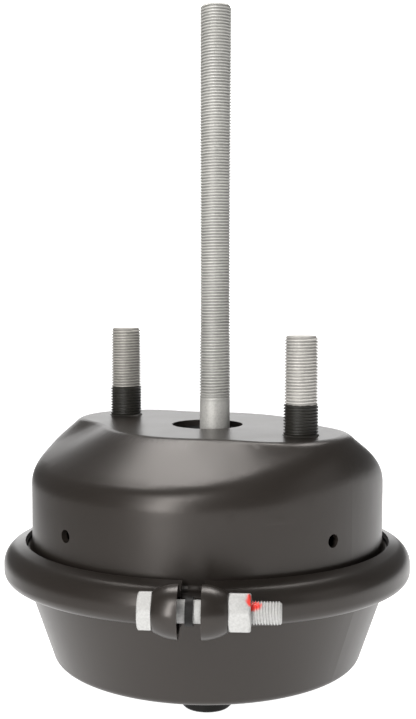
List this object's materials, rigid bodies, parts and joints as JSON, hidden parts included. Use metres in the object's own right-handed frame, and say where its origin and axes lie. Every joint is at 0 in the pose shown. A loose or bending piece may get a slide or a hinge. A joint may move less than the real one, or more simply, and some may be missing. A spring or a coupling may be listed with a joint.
{
  "type": "air brake chamber",
  "caption": "Air brake chamber: twin-lobed upper shell with mounting studs, clamped bowl and diaphragm, and a sprung push rod that strokes out through the mounting face.",
  "frame": {"origin": "middle of the flat mounting face, on the chamber's axis, halfway between the two mounting studs", "axes": "+Z along the push rod, out of the mounting face; +X towards one mounting stud, so both studs lie on the X axis"},
  "size_m": [0.2102, 0.2147, 0.3634],
  "materials": {
    "housing_paint": "satin black paint on pressed steel",
    "band_paint": "satin black paint on rolled steel",
    "zinc_stud": "dull zinc plating on rolled thread",
    "zinc_fastener": "pale zinc plating",
    "bare_steel": "dull pressed steel",
    "spring_steel": "thin black coating on spring wire",
    "diaphragm_rubber": "matt fabric-reinforced rubber",
    "seal_rubber": "matt rubber",
    "black_plastic": "moulded black plastic"
  },
  "bodies": {
    "chamber": {"non_pressure_housing": "housing_paint", "pressure_housing": "housing_paint", "diaphragm": "diaphragm_rubber", "clamp_band": "band_paint", "clamp_bolt": "zinc_fastener", "clamp_nut": "zinc_fastener", "bolt_retainer": "black_plastic", "mounting_stud_left": "zinc_stud", "mounting_stud_right": "zinc_stud", "stud_plate": "bare_steel", "rod_dust_shield": "black_plastic", "spring_seat": "bare_steel", "return_spring": "spring_steel", "port_boss": "housing_paint", "port_plug": "black_plastic", "port_plug_seal": "seal_rubber"},
    "push_rod_and_plate": {"push_rod": "zinc_stud", "push_plate": "bare_steel", "rod_collar": "bare_steel"}
  },
  "joints": [
    {"name": "push_rod_stroke", "type": "slide", "parent": "chamber", "child": "push_rod_and_plate", "axis": [0, 0, 1], "range_m": [0, 0.064], "stiffness_N_per_m": 1800, "springref_m": -0.06, "deforming": ["return_spring", "diaphragm"]}
  ]
}
